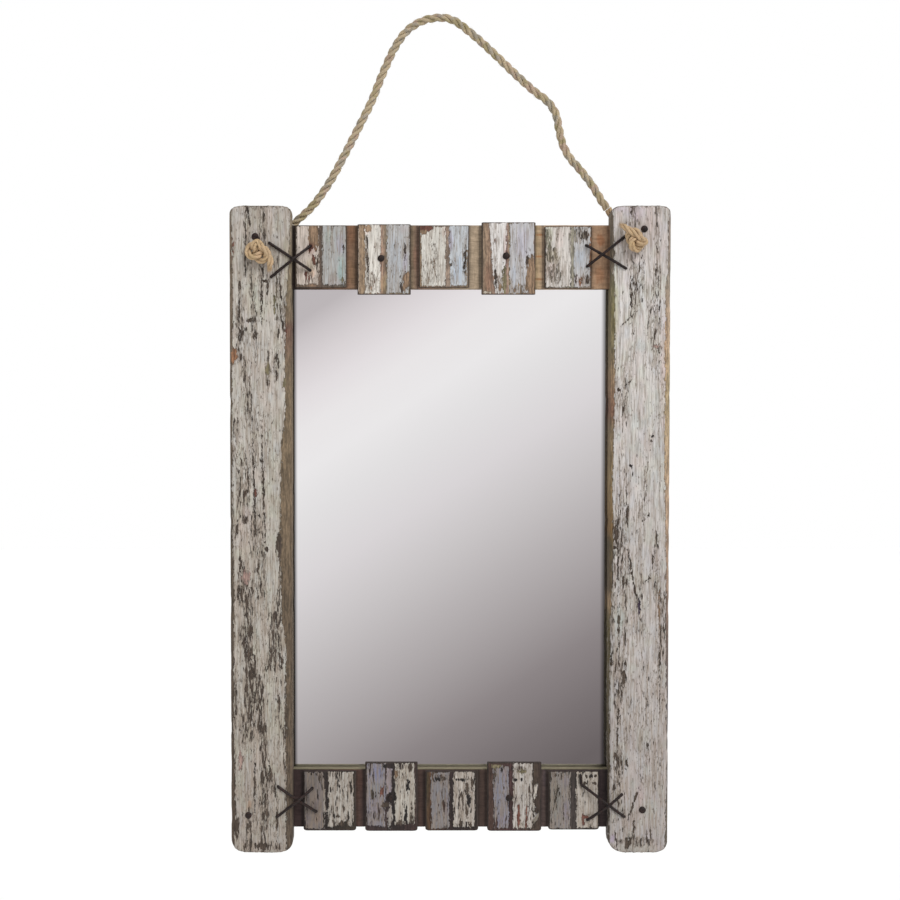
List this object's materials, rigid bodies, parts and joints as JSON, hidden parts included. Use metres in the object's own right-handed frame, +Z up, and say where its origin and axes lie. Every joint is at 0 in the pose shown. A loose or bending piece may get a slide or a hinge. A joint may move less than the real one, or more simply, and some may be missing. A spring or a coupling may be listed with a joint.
{
  "type": "wall mirror",
  "caption": "Upright wall mirror framed in old painted shutter wood, with slatted rails, wire-laced corners and a knotted jute rope to hang it by.",
  "frame": {"origin": "the hook's place: the point on the wall under the top of the hanging rope", "axes": "+Z up, the mirror faces -Y with the wall at Y = 0, and +X is to the right of someone who faces the mirror"},
  "size_m": [0.406, 0.0523, 0.7793],
  "materials": {
    "flaked_paint": "off-white paint, flaked and crackled, over grey-brown wood",
    "slat_paint": "old cream and blue-grey paint stripes with bare margins",
    "bare_wood": "weathered bare wood, level grain",
    "batten_wood": "raw sawn softwood",
    "rusty_iron": "dark rust",
    "zinced_steel": "dull zinc",
    "jute": "three-strand laid jute rope",
    "mirror": "silvered glass",
    "hardboard": "smooth brown hardboard"
  },
  "bodies": {
    "frame": {"back_panel": "hardboard", "batten_screw_lower_left": "zinced_steel", "batten_screw_lower_middle": "zinced_steel", "batten_screw_lower_right": "zinced_steel", "batten_screw_upper_left": "zinced_steel", "batten_screw_upper_middle": "zinced_steel", "batten_screw_upper_right": "zinced_steel", "bottom_rail_board": "bare_wood", "bottom_slat_1": "slat_paint", "bottom_slat_2": "slat_paint", "bottom_slat_3": "slat_paint", "bottom_slat_4": "slat_paint", "bottom_slat_5": "slat_paint", "button_screw_lower_left": "zinced_steel", "button_screw_lower_right": "zinced_steel", "button_screw_upper_left": "zinced_steel", "button_screw_upper_right": "zinced_steel", "hanging_rope": "jute", "lacing_wire_bottom_left_a": "rusty_iron", "lacing_wire_bottom_left_b": "rusty_iron", "lacing_wire_bottom_right_a": "rusty_iron", "lacing_wire_bottom_right_b": "rusty_iron", "lacing_wire_top_left_a": "rusty_iron", "lacing_wire_top_left_b": "rusty_iron", "lacing_wire_top_right_a": "rusty_iron", "lacing_wire_top_right_b": "rusty_iron", "left_post": "flaked_paint", "lower_batten": "batten_wood", "mirror_glass": "mirror", "post_nail_bottom_left": "rusty_iron", "post_nail_bottom_right": "rusty_iron", "post_nail_top_left": "rusty_iron", "post_nail_top_right": "rusty_iron", "right_post": "flaked_paint", "rope_knot_left": "jute", "rope_knot_right": "jute", "slat_nail_bottom_2": "rusty_iron", "slat_nail_bottom_4": "rusty_iron", "slat_nail_top_2": "rusty_iron", "slat_nail_top_4": "rusty_iron", "top_rail_board": "bare_wood", "top_slat_1": "slat_paint", "top_slat_2": "slat_paint", "top_slat_3": "slat_paint", "top_slat_4": "slat_paint", "top_slat_5": "slat_paint", "upper_batten": "batten_wood"},
    "lower_left_button": {"turn_button_lower_left": "zinced_steel"},
    "lower_right_button": {"turn_button_lower_right": "zinced_steel"},
    "upper_left_button": {"turn_button_upper_left": "zinced_steel"},
    "upper_right_button": {"turn_button_upper_right": "zinced_steel"}
  },
  "joints": [
    {"name": "lower_left_button_turn", "type": "hinge", "parent": "frame", "child": "lower_left_button", "pos_m": [-0.074, -0.00335, -0.7219], "axis": [0, 1, 0], "range_deg": [-90, 90]},
    {"name": "lower_right_button_turn", "type": "hinge", "parent": "frame", "child": "lower_right_button", "pos_m": [0.086, -0.00335, -0.7219], "axis": [0, 1, 0], "range_deg": [-90, 90]},
    {"name": "upper_left_button_turn", "type": "hinge", "parent": "frame", "child": "upper_left_button", "pos_m": [-0.074, -0.00335, -0.2221], "axis": [0, 1, 0], "range_deg": [-90, 90]},
    {"name": "upper_right_button_turn", "type": "hinge", "parent": "frame", "child": "upper_right_button", "pos_m": [0.086, -0.00335, -0.2221], "axis": [0, 1, 0], "range_deg": [-90, 90]}
  ]
}
